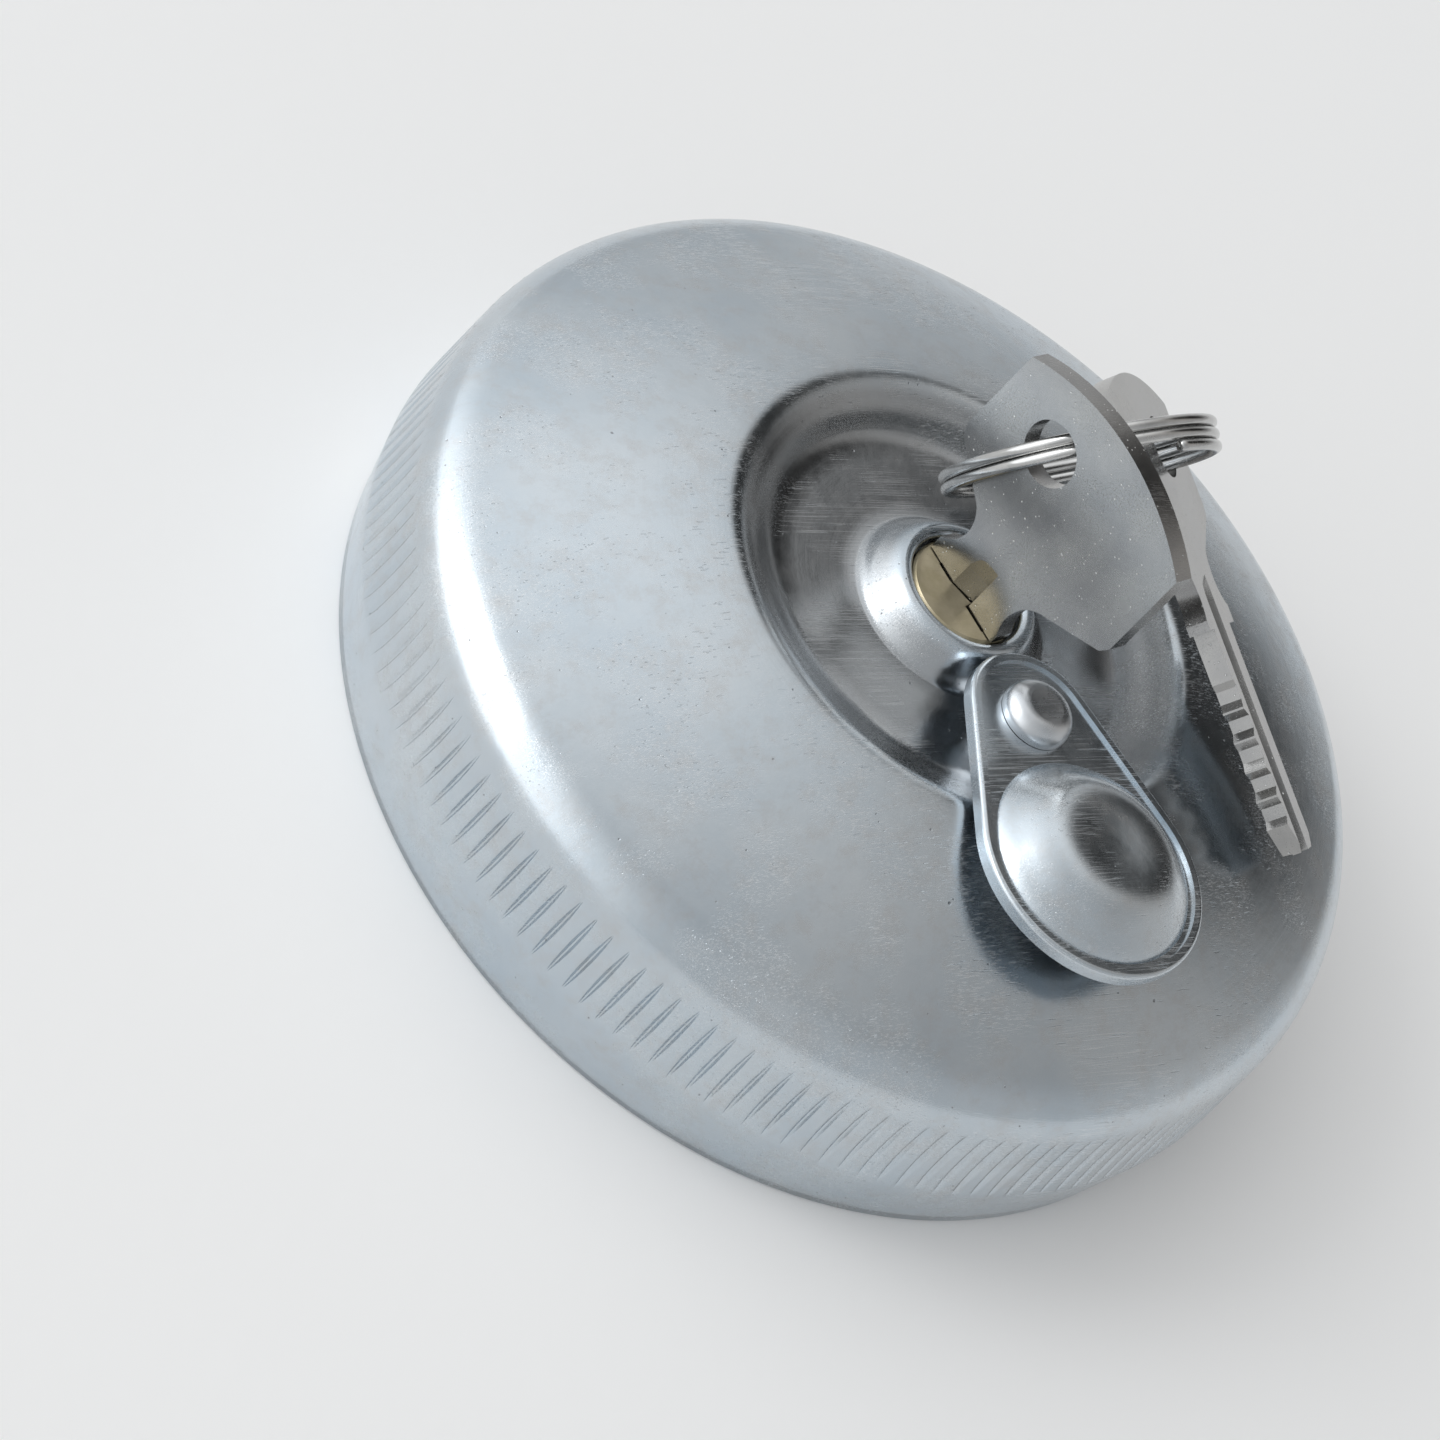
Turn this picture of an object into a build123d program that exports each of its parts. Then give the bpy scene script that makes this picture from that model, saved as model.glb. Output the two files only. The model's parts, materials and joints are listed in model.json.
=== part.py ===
"""Lockable filler cap for a fuel tank, with its key, a spare key and a split ring.

Millimetres, +Z up. The origin is the centre of the skirt's lower rim, on the cap's axis.
The dust cover opens towards -Y, and the key stands in the lock.
"""

from build123d import *
import math
import os

# Cover shell
shell_radius = 50.0
shell_wall = 1.0
rim_radius = 49.0
skirt_top_radius = 49.15
knurl_bottom = 7.45
knurl_top = 16.0
shoulder_radius = 6.45
shoulder_slope = math.radians(23)
lip_radius = 23.6
lip_height = 27.35
floor_height = 24.4
floor_radius = 17.6
boss_foot_radius = 10.0
boss_height = 27.65
boss_crest_radius = 6.9
plug_hole_radius = 5.7

# Lock plug and its housing
head_radius = 5.5
body_radius = 5.0
running_gap = 0.05
plug_face = 27.2
plug_step = 22.9
plug_end = 4.5
tenon_radius = 3.0
tenon_flat = 4.4
housing_foot = 6.3
housing_top = 23.3
seal_height = 25.0
seal_seat = 4.65
core_radius = 10.0
flange_bottom = 14.9
rivet_circle = 18.0
rivet_radius = 1.5
screw_circle = 14.0
screw_radius = 1.4

# Wafers
wafer_count = 5
wafer_pitch = 2.8
first_wafer = 21.2
wafer_thickness = 1.0
wafer_width = 5.4
spring_middle = 1.6
spring_length = 3.0
key_gap = 0.2

# Keys
key_thickness = 2.0
key_back = 3.6
key_cut_edge = -3.4
blade_length = 21.6
key_stop = 0.1
groove_depth = 0.9
bow_middle = -0.8
bow_height = 24.5
bow_hole = (3.6, 17.2)
bow_hole_radius = 3.0
cut_depths = (0.4, 1.0, 0.6, 1.1, 0.8)
key_angle = -77.0
key_shift = 0.6

# Split ring
ring_radius = 12.1
wire_radius = 0.6
coil_pitch = 1.1
ring_lap = 100.0
ring_centre = (8.23, 7.07, 38.39)
ring_normal = (-0.125, 0.913, 0.387)
ring_right = (0.81, -0.31, 0.49)

# Spare key, lying on the dome
spare_origin = (20.12, -8.5, 34.08)
spare_across = (0.821, 0.371, -0.435)
spare_normal = (0.51, -0.131, 0.85)

# Dust cover
pivot_offset = 14.4
cover_reach = 14.5
cover_wide_radius = 11.3
cover_narrow_radius = 6.6
cover_top = 29.4
cover_wall = 0.8
cover_lip_drop = 1.4
cover_bead = 0.9
cover_bead_height = 0.3
cover_dome_radius = 10.1
cover_dome_height = 2.9
pivot_radius = 1.9
rivet_head_radius = 3.4
rivet_head_height = 2.0

# Plate that carries the mechanism, gasket and bayonet
plate_bottom = 17.4
plate_thickness = 1.2
plate_radius = 46.8
guide_radius = 33.8
gasket_bottom = 9.5
gasket_thickness = 3.0
gasket_inner = 36.5
gasket_outer = 46.5
gasket_plate_radius = 46.6
gasket_plate_collar = 15.5
vent_offset = 27.2
spring_radius = 42.5
spring_taper = 4.6
spring_wire = 0.7
bayonet_bottom = 4.7
bayonet_thickness = 1.6
bayonet_radius = 31.0
lug_radius = 39.6
lug_half_angle = 15.0

# Locking bolts and the cam that drives them
bolt_thickness = 1.6
bolt_bottom = 3.0
bolt_half_width = 5.0
bolt_tip = 43.5
bolt_tail = 9.0
guide_place = 23.5
bolt_travel = 4.0
pin_locked = 12.0
pin_radius = 1.1
slot_gap = 0.2
cam_radius = 15.0
cam_bottom = 1.5
cam_top = 2.8


def save(piece, name):
    """Labels a finished piece and writes its STEP file."""
    piece.label = name
    export_step(piece, f"parts/{name}.step")


def turned(outline):
    """Revolves a closed outline, given as (radius, height) corners, about the cap's axis."""
    with BuildPart() as piece:
        with BuildSketch(Plane.XZ):
            with BuildLine():
                Polyline(*outline, close=True)
            make_face()
        revolve(axis=Axis.Z)
    return piece.part


def tube(inner, outer, low, high, at=(0, 0)):
    """A sleeve between two heights; an inner radius of 0 gives a plain pin."""
    with BuildPart() as piece:
        with BuildSketch(Plane.XY.offset(low)):
            with Locations(at):
                Circle(outer)
                if inner > 0:
                    Circle(inner, mode=Mode.SUBTRACT)
        extrude(amount=high - low)
    return piece.part


def on_circle(radius, degrees):
    """The point at an angle on a circle about the axis."""
    return radius * math.cos(math.radians(degrees)), radius * math.sin(math.radians(degrees))


def shell_outline():
    """The cover's half section: outer line from rim to plug hole, then back along the inside."""
    lean = math.atan2(shell_radius - skirt_top_radius, knurl_top - knurl_bottom)
    centre = (
        skirt_top_radius - shoulder_radius * math.cos(lean),
        knurl_top - shoulder_radius * math.sin(lean),
    )

    def shoulder(angle, radius=shoulder_radius):
        return centre[0] + radius * math.cos(angle), centre[1] + radius * math.sin(angle)

    bend_end = math.pi / 2 - shoulder_slope
    inward = (-math.cos(shoulder_slope), math.sin(shoulder_slope))
    dome_end = (lip_radius + 1.6, lip_height - 0.2)
    Line((rim_radius, 0), (shell_radius, knurl_bottom))
    Line((shell_radius, knurl_bottom), shoulder(lean))
    ThreePointArc(shoulder(lean), shoulder((lean + bend_end) / 2), shoulder(bend_end))
    TangentArc(shoulder(bend_end), dome_end, tangent=inward)
    Spline(
        dome_end,
        (lip_radius - 0.2, lip_height - 0.15),
        (lip_radius - 2.4, lip_height - 1.25),
        (floor_radius, floor_height),
        tangents=((-1, 0.12), (-1, -0.05)),
    )
    Line((floor_radius, floor_height), (boss_foot_radius, floor_height))
    hole_edge = (plug_hole_radius + 0.1, boss_height - 0.35)
    Spline(
        (boss_foot_radius, floor_height),
        (boss_foot_radius - 1.45, floor_height + 1.5),
        (boss_crest_radius, boss_height),
        hole_edge,
        tangents=((-1, 0.15), (-0.35, -1)),
    )
    under = floor_height - shell_wall
    bend = shoulder_radius - shell_wall
    dome_under = (dome_end[0] - 0.1, dome_end[1] - shell_wall)
    boss_under = (boss_crest_radius + 0.2, boss_height - shell_wall - 0.2)
    Polyline(hole_edge, (plug_hole_radius, boss_height - shell_wall), boss_under)
    Spline(boss_under, (boss_foot_radius - 1.9, under + 1.4), (boss_foot_radius - 0.4, under))
    Line((boss_foot_radius - 0.4, under), (floor_radius + 0.1, under))
    Spline(
        (floor_radius + 0.1, under),
        (lip_radius - 2.1, lip_height - 2.2),
        (lip_radius - 0.1, lip_height - 1.2),
        dome_under,
        tangents=((1, 0.05), (1, -0.12)),
    )
    Line(dome_under, shoulder(bend_end, bend))
    ThreePointArc(
        shoulder(bend_end, bend), shoulder((lean + bend_end) / 2, bend), shoulder(lean, bend)
    )
    Polyline(
        shoulder(lean, bend),
        (shell_radius - shell_wall, knurl_bottom),
        (rim_radius - shell_wall, 0),
        (rim_radius, 0),
    )


def cover_shell():
    """Pressed cover: one skin of even wall, turned, with the hole for the dust cover's rivet."""
    with BuildPart() as shell:
        with BuildSketch(Plane.XZ):
            with BuildLine():
                shell_outline()
            make_face()
        revolve(axis=Axis.Z)
        with BuildSketch(Plane.XY.offset(floor_height - 2)):
            with Locations((0, -pivot_offset)):
                Circle(pivot_radius + 0.02)
        extrude(amount=3, mode=Mode.SUBTRACT)
    return shell.part


def blade_section(gap=0.0):
    """Z-shaped section of the key's blade: x across the blade, y through its thickness."""
    half = key_thickness / 2
    foot = half - groove_depth
    with BuildSketch() as section:
        with BuildLine():
            Polyline(
                (key_cut_edge, -half),
                (-1.0, -half),
                (-0.9, -foot),
                (2.0, -half),
                (key_back, -half),
                (key_back, half),
                (1.0, half),
                (0.9, foot),
                (-2.0, half),
                (key_cut_edge, half),
                close=True,
            )
        make_face()
        if gap > 0:
            offset(amount=gap, kind=Kind.INTERSECTION)
    return section.sketch


def key_outline():
    """Outline of the whole key in its own plane: x across, y from the stop towards the bow."""
    cut_edge = []
    for index, depth in enumerate(cut_depths):
        middle = first_wafer - index * wafer_pitch - (plug_face + key_stop)
        floor = key_cut_edge + depth
        cut_edge += [(key_cut_edge, middle + 1.3), (floor, middle + 0.6)]
        cut_edge += [(floor, middle - 0.6), (key_cut_edge, middle - 1.3)]
    tip = [(-0.8, -blade_length), (2.6, -blade_length), (key_back, -blade_length + 1.2)]
    Polyline((key_cut_edge, 0), *cut_edge, *tip, (key_back, 0), (5.6, 0), (5.6, 1.6))
    ThreePointArc((5.6, 1.6), (4.0, 4.4), (5.2, 7.1))
    Polyline((5.2, 7.1), (10.7, 10.1), (11.2, 11.2), (11.0, 21.3))
    ThreePointArc((11.0, 21.3), (bow_middle, bow_height), (-12.6, 21.3))
    Polyline((-12.6, 21.3), (-12.9, 11.2), (-12.3, 10.1), (-6.8, 7.0))
    ThreePointArc((-6.8, 7.0), (-4.4, 4.2), (-4.9, 0.9))
    Polyline((-4.9, 0.9), (-4.9, 0), (key_cut_edge, 0))


def groove_tool(plane, side):
    """Milled groove on one face of the blade, fading out above the stop."""
    half = key_thickness / 2
    foot = half - groove_depth
    above = half + 0.1

    def section(height, depth):
        across = Plane(plane.from_local_coords((0, height, 0)), x_dir=plane.x_dir, z_dir=plane.y_dir)
        with BuildSketch(across) as cut:
            with BuildLine():
                Polyline(
                    (0.9 * side, -(above - depth) * side),
                    (1.0 * side, -above * side),
                    (-2.0 * side, -above * side),
                    close=True,
                )
            make_face()
        return cut.sketch

    with BuildPart() as tool:
        add(section(-blade_length - 1, above - foot))
        add(section(2.6, above - foot))
        add(section(5.0, 0.06))
        loft(ruled=True)
    return tool.part


def key_blank(plane, name):
    """One flat key: bow with its ring hole, stop shoulders, cut blade and two milled grooves."""
    with BuildPart() as key:
        with BuildSketch(plane.offset(-key_thickness / 2)):
            with BuildLine():
                key_outline()
            make_face()
            with Locations(bow_hole):
                Circle(bow_hole_radius, mode=Mode.SUBTRACT)
        extrude(amount=key_thickness)
        add(groove_tool(plane, 1), mode=Mode.SUBTRACT)
        add(groove_tool(plane, -1), mode=Mode.SUBTRACT)
    save(key.part, name)


def teardrop(wide, narrow):
    """Outline of the dust cover: two circles and the straight sides that touch both."""
    with Locations((0, -pivot_offset)):
        Circle(narrow)
    with Locations((0, -pivot_offset - cover_reach)):
        Circle(wide)
    make_hull()


def dome_solid(radius, height):
    """Pillow-shaped dome over the end of the dust cover, nearly flat on top."""
    base = cover_top - cover_wall
    with BuildPart() as dome:
        with BuildSketch(Plane.XZ):
            with BuildLine():
                Spline(
                    (radius, base),
                    (radius - 1.4, base + 0.45 * height),
                    (radius - 3.6, base + 0.9 * height),
                    (0, base + height),
                    tangents=((-0.35, 1), (-1, 0)),
                )
                Polyline((0, base + height), (0, base), (radius, base))
            make_face()
        revolve(axis=Axis.Z)
    return dome.part.translate((0, -pivot_offset - cover_reach, 0))


def dust_cover():
    """Pressed teardrop: a bead round its turned-down edge, and a dome over the lock."""
    underside = cover_top - cover_wall
    edge_bottom = cover_top - cover_lip_drop
    with BuildPart() as cover:
        with BuildSketch(Plane.XY.offset(edge_bottom)):
            teardrop(cover_wide_radius, cover_narrow_radius)
        extrude(amount=cover_lip_drop)
        fillet(cover.faces().sort_by(Axis.Z)[-1].outer_wire().edges(), radius=0.4)
        with BuildSketch(Plane.XY.offset(cover_top - cover_bead_height)):
            teardrop(cover_wide_radius - cover_bead, cover_narrow_radius - cover_bead)
        extrude(amount=cover_bead_height, mode=Mode.SUBTRACT)
        with BuildSketch(Plane.XY.offset(edge_bottom)):
            teardrop(cover_wide_radius - cover_wall, cover_narrow_radius - cover_wall)
        extrude(amount=cover_lip_drop - cover_wall, mode=Mode.SUBTRACT)
        add(dome_solid(cover_dome_radius, cover_dome_height + cover_wall))
        add(
            dome_solid(cover_dome_radius - cover_wall, cover_dome_height),
            mode=Mode.SUBTRACT,
        )
        with BuildSketch(Plane.XY.offset(underside)):
            with Locations((0, -pivot_offset)):
                Circle(pivot_radius + running_gap)
        extrude(amount=cover_wall, mode=Mode.SUBTRACT)
    save(cover.part, "dust_cover")


def cover_rivet():
    """Domed rivet that the dust cover swings on, upset against a washer inside the shell."""
    head = cover_top - cover_bead_height + 0.05
    with BuildPart() as rivet:
        with BuildSketch(Plane.XY.offset(head)):
            with Locations((0, -pivot_offset)):
                Circle(rivet_head_radius)
        extrude(amount=rivet_head_height)
        fillet(rivet.faces().sort_by(Axis.Z)[-1].edges(), radius=0.85 * rivet_head_height)
        with BuildSketch(Plane.XY.offset(washer_bottom)):
            with Locations((0, -pivot_offset)):
                Circle(pivot_radius)
        extrude(amount=head - washer_bottom)
        with BuildSketch(Plane.XY.offset(washer_bottom - 1.2)):
            with Locations((0, -pivot_offset)):
                Circle(2.9)
        extrude(amount=1.2)
        chamfer(rivet.faces().sort_by(Axis.Z)[0].edges(), length=0.5)
    save(rivet.part, "cover_rivet")


def rivet_sleeves():
    """Spacer that carries the dust cover above the dish, and washer under the shell."""
    for low, high, radius, name in (
        (floor_height, cover_top - cover_wall - 0.1, 3.2, "rivet_spacer"),
        (washer_bottom, washer_bottom + 0.8, 3.9, "rivet_washer"),
    ):
        save(tube(rivet_bore, radius, low, high, (0, -pivot_offset)), name)


def split_ring():
    """Key ring: a double turn of wire and the lap where its ends lie side by side."""
    axis = Vector(*ring_normal).normalized()
    rightwards = Vector(*ring_right)
    middle_of_lap = (rightwards - axis * rightwards.dot(axis)).normalized()
    lap_start = middle_of_lap.rotate(Axis((0, 0, 0), axis), -ring_lap / 2)
    across = Plane(ring_centre, x_dir=lap_start, z_dir=lap_start.cross(axis))
    with BuildPart() as ring:
        with BuildSketch(across):
            with Locations((ring_radius, coil_pitch / 2), (ring_radius, -coil_pitch / 2)):
                Circle(wire_radius)
        revolve(axis=Axis(ring_centre, axis))
        with BuildSketch(across):
            with Locations((ring_radius, -1.5 * coil_pitch)):
                Circle(wire_radius)
        revolve(axis=Axis(ring_centre, axis), revolution_arc=ring_lap)
    save(ring.part, "split_ring")


def lock_plug():
    """Brass plug: head, body, keyway, wafer slots, seal groove and the cam's tenon."""
    keyway = Plane(key_foot.origin, x_dir=key_foot.x_dir, z_dir=(0, 0, -1))
    with BuildPart() as plug:
        with BuildSketch(Plane.XY.offset(plug_end)):
            Circle(body_radius)
        extrude(amount=plug_step - plug_end)
        with BuildSketch(Plane.XY.offset(plug_step)):
            Circle(head_radius)
        extrude(amount=plug_face - plug_step)
        chamfer(plug.faces().sort_by(Axis.Z)[-1].edges(), length=0.25)
        with BuildSketch(Plane.XY.offset(cam_bottom)):
            Circle(tenon_radius)
            Rectangle(2 * tenon_radius, tenon_flat, mode=Mode.INTERSECT)
        extrude(amount=plug_end - cam_bottom)
        with BuildSketch(Plane.XY.offset(cam_bottom)):
            Circle(screw_radius + 0.02)
        extrude(amount=plug_end - cam_bottom, mode=Mode.SUBTRACT)
        with BuildSketch(Plane.XY.offset(seal_height - 0.5)):
            Circle(head_radius + 1)
            Circle(seal_seat, mode=Mode.SUBTRACT)
        extrude(amount=1.0, mode=Mode.SUBTRACT)
        with BuildSketch(keyway):
            add(blade_section(key_gap))
        extrude(amount=blade_length + 0.4, mode=Mode.SUBTRACT)
        for height in wafer_heights:
            with BuildSketch(wafer_plane(height - 0.05)):
                Rectangle(2 * body_radius + 1, wafer_slot_width)
            extrude(amount=wafer_thickness + 0.1, mode=Mode.SUBTRACT)
    save(plug.part, "lock_plug")


def plug_seal():
    """Rubber ring in the groove of the plug's head."""
    with BuildPart() as seal:
        with BuildSketch(Plane.XZ):
            with Locations((5.08, seal_height)):
                Circle(0.4)
        revolve(axis=Axis.Z)
    save(seal.part, "plug_seal")


def wafer_plane(height):
    """Plane across the plug, with x along the keyway."""
    return Plane((0, 0, height), x_dir=(math.cos(key_turn), math.sin(key_turn), 0), z_dir=(0, 0, 1))


def wafers():
    """Five brass wafers, each with a window for the blade and a notch for its spring."""
    low = key_shift - key_back - 0.15
    high = key_shift - key_cut_edge + 0.15
    for number, height in enumerate(wafer_heights, start=1):
        with BuildPart() as wafer:
            with BuildSketch(wafer_plane(height)):
                Rectangle(2 * wafer_reach, wafer_width)
                Circle(wafer_reach, mode=Mode.INTERSECT)
                with Locations(((low + high) / 2, 0)):
                    Rectangle(high - low, key_thickness + 0.3, mode=Mode.SUBTRACT)
                with Locations((spring_middle, wafer_width / 2)):
                    Rectangle(spring_length, 2.2, mode=Mode.SUBTRACT)
            extrude(amount=wafer_thickness)
        save(wafer.part, f"wafer_{number}")


def wafer_springs():
    """One close-wound spring for each wafer, drawn as a sleeve, lying in the wafer's notch."""
    with BuildPart() as springs:
        for height in wafer_heights:
            here = wafer_plane(height + wafer_thickness / 2)
            start = here.from_local_coords((spring_middle - spring_length / 2 + 0.1, spring_side, 0))
            with BuildSketch(Plane(start, z_dir=here.x_dir)):
                Circle(0.4)
                Circle(0.22, mode=Mode.SUBTRACT)
            extrude(amount=spring_length - 0.2)
    save(springs.part, "wafer_springs")


def lock_housing():
    """Die-cast housing: nose, core, flange under the plate, foot for the bayonet plate."""
    outer = [
        (0, housing_foot),
        (17.0, housing_foot),
        (17.0, 11.0),
        (core_radius, 12.0),
        (core_radius, flange_bottom),
        (22.0, flange_bottom),
        (22.0, plate_bottom),
        (core_radius, plate_bottom),
        (core_radius, housing_top - 0.1),
        (6.4, housing_top - 0.1),
        (6.4, 26.3),
        (0, 26.3),
    ]
    with BuildPart() as housing:
        add(turned(outer))
        with BuildSketch(Plane.XY.offset(housing_foot)):
            Circle(body_radius + running_gap)
        extrude(amount=plug_step - running_gap - housing_foot, mode=Mode.SUBTRACT)
        with BuildSketch(Plane.XY.offset(plug_step - running_gap)):
            Circle(head_radius + 2 * running_gap)
        extrude(amount=10, mode=Mode.SUBTRACT)
        with BuildSketch(wafer_plane(8.6)):
            Rectangle(12.6, wafer_slot_width + 0.2)
        extrude(amount=14.0, mode=Mode.SUBTRACT)
        with BuildSketch(Plane.XY.offset(flange_bottom)):
            with PolarLocations(rivet_circle, 4):
                Circle(rivet_radius + 0.02)
        extrude(amount=plate_bottom - flange_bottom, mode=Mode.SUBTRACT)
        with BuildSketch(Plane.XY.offset(housing_foot)):
            with PolarLocations(screw_circle, 4, start_angle=45):
                Circle(screw_radius + 0.02)
        extrude(amount=3.6, mode=Mode.SUBTRACT)
    save(housing.part, "lock_housing")


def inner_plate():
    """Steel plate inside the shell, with a drawn collar whose staked lip holds the gasket plate."""
    top = plate_bottom + plate_thickness
    outline = [
        (core_radius + 0.3, plate_bottom),
        (guide_radius - plate_thickness, plate_bottom),
        (guide_radius - plate_thickness, 11.4),
        (guide_radius + 1.0, 11.4),
        (guide_radius + 1.0, 12.4),
        (guide_radius, 12.4),
        (guide_radius, plate_bottom),
        (plate_radius, plate_bottom),
        (plate_radius, top),
        (core_radius + 0.3, top),
    ]
    with BuildPart() as plate:
        add(turned(outline))
        with BuildSketch(Plane.XY.offset(plate_bottom)):
            with PolarLocations(rivet_circle, 4):
                Circle(rivet_radius + 0.02)
            with Locations((0, vent_offset)):
                Circle(1.52)
            with Locations((0, vent_offset)):
                with PolarLocations(3.0, 4):
                    Circle(0.7)
        extrude(amount=plate_thickness, mode=Mode.SUBTRACT)
    save(plate.part, "inner_plate")


def housing_rivets():
    """Four solid rivets through the plate and the housing's flange."""
    with BuildPart() as rivets:
        for low, high, radius in (
            (flange_bottom - 1.0, flange_bottom, 2.6),
            (flange_bottom, plate_bottom + plate_thickness, rivet_radius),
            (plate_bottom + plate_thickness, plate_bottom + plate_thickness + 1.0, 2.6),
        ):
            with BuildSketch(Plane.XY.offset(low)):
                with PolarLocations(rivet_circle, 4):
                    Circle(radius)
            extrude(amount=high - low)
    save(rivets.part, "housing_rivets")


def vent_valve():
    """Rubber umbrella valve over the breather ports."""
    top = plate_bottom + plate_thickness
    with BuildPart() as valve:
        for low, high, radius in (
            (plate_bottom - 1.2, plate_bottom, 4.6),
            (plate_bottom, top, 1.5),
            (top, top + 1.2, 2.2),
        ):
            with BuildSketch(Plane.XY.offset(low)):
                with Locations((0, vent_offset)):
                    Circle(radius)
            extrude(amount=high - low)
        chamfer(valve.faces().sort_by(Axis.Z)[0].edges(), length=0.6)
        chamfer(valve.faces().sort_by(Axis.Z)[-1].edges(), length=0.7)
    save(valve.part, "vent_valve")


def bayonet_plate():
    """Steel disc with two lugs that turn under the filler neck's flange."""
    with BuildPart() as plate:
        with BuildSketch(Plane.XY.offset(bayonet_bottom)):
            Circle(bayonet_radius)
            for facing in (90, 270):
                with BuildLine():
                    start = on_circle(lug_radius, facing - lug_half_angle)
                    end = on_circle(lug_radius, facing + lug_half_angle)
                    ThreePointArc(start, on_circle(lug_radius, facing), end)
                    Polyline(end, (0, 0), start)
                make_face()
            Circle(body_radius + 0.2, mode=Mode.SUBTRACT)
            with PolarLocations(screw_circle, 4, start_angle=45):
                Circle(screw_radius + 0.1, mode=Mode.SUBTRACT)
        extrude(amount=bayonet_thickness)
        fillet(plate.edges().filter_by(Axis.Z).group_by(SortBy.DISTANCE)[-1], radius=1.5)
    save(plate.part, "bayonet_plate")


def plate_screws():
    """Four pan-head screws, bayonet plate to housing."""
    with BuildPart() as screws:
        with BuildSketch(Plane.XY.offset(bayonet_bottom - 1.6)):
            with PolarLocations(screw_circle, 4, start_angle=45):
                Circle(2.6)
        extrude(amount=1.6)
        chamfer(screws.faces().filter_by(Axis.Z).group_by(Axis.Z)[0].edges(), length=0.4)
        with BuildSketch(Plane.XY.offset(bayonet_bottom)):
            with PolarLocations(screw_circle, 4, start_angle=45):
                Circle(screw_radius)
        extrude(amount=5.0)
        with BuildSketch(Plane.XY.offset(bayonet_bottom - 1.6)):
            with PolarLocations(screw_circle, 4, start_angle=45):
                Rectangle(3.2, 0.7)
                Rectangle(0.7, 3.2)
        extrude(amount=0.8, mode=Mode.SUBTRACT)
    save(screws.part, "plate_screws")


def scroll_slot():
    """Slot whose middle line runs in by the bolts' travel over a quarter turn."""
    steps = 6
    half = pin_radius + slot_gap

    def edge(step, side):
        turn = -math.pi / 2 * step / steps
        radius = pin_locked + bolt_travel * turn / (math.pi / 2) + side * half
        return radius * math.cos(turn), radius * math.sin(turn)

    def cap(step, way):
        turn = -math.pi / 2 * step / steps
        radius = pin_locked + bolt_travel * turn / (math.pi / 2)
        return (
            radius * math.cos(turn) - way * half * math.sin(turn),
            radius * math.sin(turn) + way * half * math.cos(turn),
        )

    with BuildSketch() as slot:
        with BuildLine():
            Spline(*[edge(step, 1) for step in range(steps + 1)])
            ThreePointArc(edge(steps, 1), cap(steps, -1), edge(steps, -1))
            Spline(*[edge(step, -1) for step in range(steps, -1, -1)])
            ThreePointArc(edge(0, -1), cap(0, 1), edge(0, 1))
        make_face()
    return slot.sketch


def scroll_cam():
    """Disc on the plug's tenon; its two scroll slots carry the pins of the bolts."""
    with BuildPart() as cam:
        with BuildSketch(Plane.XY.offset(cam_bottom)):
            Circle(cam_radius)
            add(scroll_slot(), mode=Mode.SUBTRACT)
            add(scroll_slot().rotate(Axis.Z, 180), mode=Mode.SUBTRACT)
        extrude(amount=cam_top - cam_bottom)
        with BuildSketch(Plane.XY.offset(cam_bottom)):
            Circle(tenon_radius + 0.03)
            Rectangle(2 * tenon_radius + 1, tenon_flat + 0.06, mode=Mode.INTERSECT)
        extrude(amount=cam_top - cam_bottom, mode=Mode.SUBTRACT)
    save(cam.part, "scroll_cam")


def cam_screw():
    """Slotted screw that holds the cam on the tenon."""
    with BuildPart() as screw:
        with BuildSketch(Plane.XY.offset(0.4)):
            Circle(4.2)
        extrude(amount=cam_bottom - 0.4)
        chamfer(screw.faces().sort_by(Axis.Z)[0].edges(), length=0.3)
        with BuildSketch(Plane.XY.offset(cam_bottom)):
            Circle(screw_radius)
        extrude(amount=plug_end - cam_bottom - 0.1)
        with BuildSketch(Plane.XY.offset(0.4)):
            Rectangle(9, 0.9)
        extrude(amount=0.6, mode=Mode.SUBTRACT)
    save(screw.part, "cam_screw")


def bolt(side, name):
    """Flat locking bolt with its half-sheared pin, on +X or -X."""
    with BuildPart() as slider:
        with BuildSketch(Plane.XY.offset(bolt_bottom)):
            with Locations((side * (bolt_tip + bolt_tail) / 2, 0)):
                Rectangle(bolt_tip - bolt_tail, 2 * bolt_half_width)
        extrude(amount=bolt_thickness)
        fillet(slider.edges().filter_by(Axis.Z), radius=1.2)
        with BuildSketch(Plane.XY.offset(cam_bottom)):
            with Locations((side * pin_locked, 0)):
                Circle(pin_radius)
        extrude(amount=bolt_bottom - cam_bottom)
    save(slider.part, name)


def bolt_guides():
    """Two straps under the bayonet plate, one round each bolt."""
    bottom = bolt_bottom - 1.3
    with BuildPart() as guides:
        with BuildSketch(Plane.XY.offset(bottom)):
            with Locations((guide_place, 0), (-guide_place, 0)):
                RectangleRounded(7, 18, 1.0)
        extrude(amount=bayonet_bottom - bottom)
        with BuildSketch(Plane.XY.offset(bolt_bottom - 0.1)):
            with Locations((guide_place, 0), (-guide_place, 0)):
                Rectangle(8, 2 * bolt_half_width + 0.3)
        extrude(amount=bayonet_bottom - bolt_bottom + 0.1, mode=Mode.SUBTRACT)
    save(guides.part, "bolt_guides")


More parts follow.
